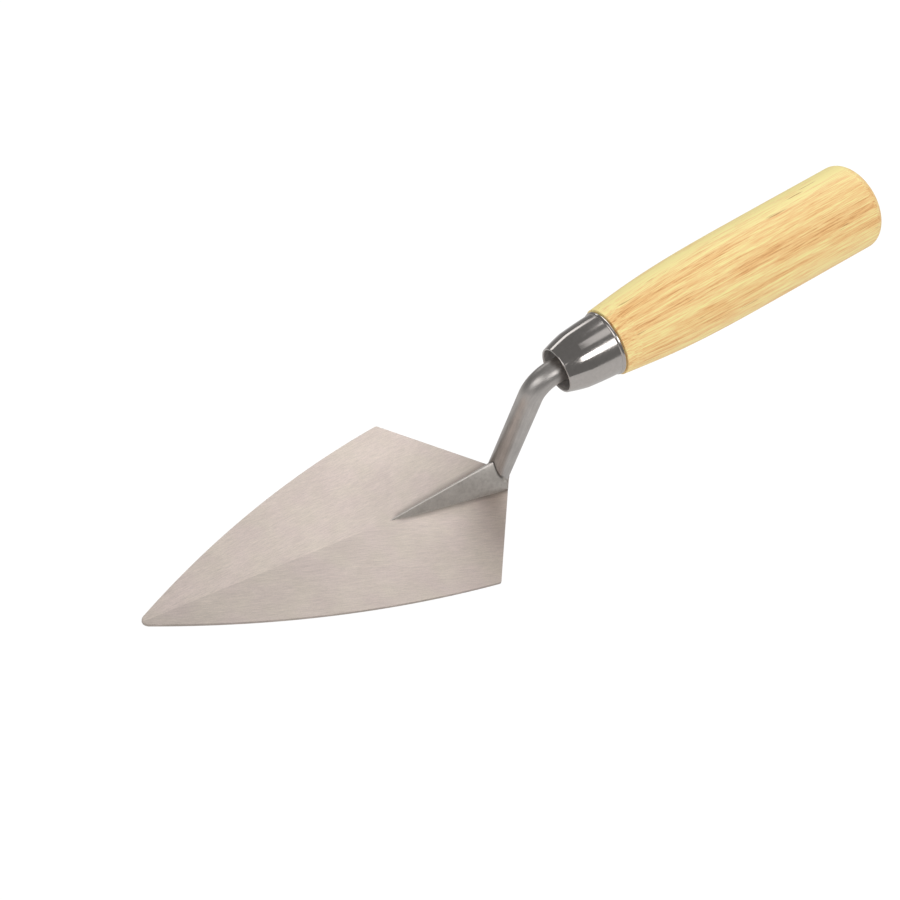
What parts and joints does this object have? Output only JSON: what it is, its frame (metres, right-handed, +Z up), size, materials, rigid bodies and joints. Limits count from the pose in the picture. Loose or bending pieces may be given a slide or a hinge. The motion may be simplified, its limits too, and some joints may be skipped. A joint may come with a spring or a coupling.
{
  "type": "brick trowel",
  "caption": "Small brick trowel: kite-shaped ground steel blade, welded wedge lift, bent round shank, pressed steel ferrule and turned pale wooden handle.",
  "frame": {"origin": "middle of the base of the bounding box, in the plane of the blade's underside", "axes": "+X along the tool from the blade's nose to the handle's butt, +Z up out of the blade's face, +Y across the blade"},
  "size_m": [0.2486, 0.0682, 0.0824],
  "materials": {
    "ground_steel": "satin, ground lengthwise",
    "forged_steel": "matt, mottled",
    "weld_metal": "dressed weld, matt",
    "rod_steel": "satin",
    "polished_steel": "polished",
    "pale_wood": "sanded smooth, lightly lacquered"
  },
  "bodies": {
    "root": {"blade": "ground_steel", "lift": "forged_steel", "lift_weld": "weld_metal", "shank": "rod_steel", "shank_weld": "weld_metal", "ferrule": "polished_steel", "handle": "pale_wood"}
  },
  "joints": []
}
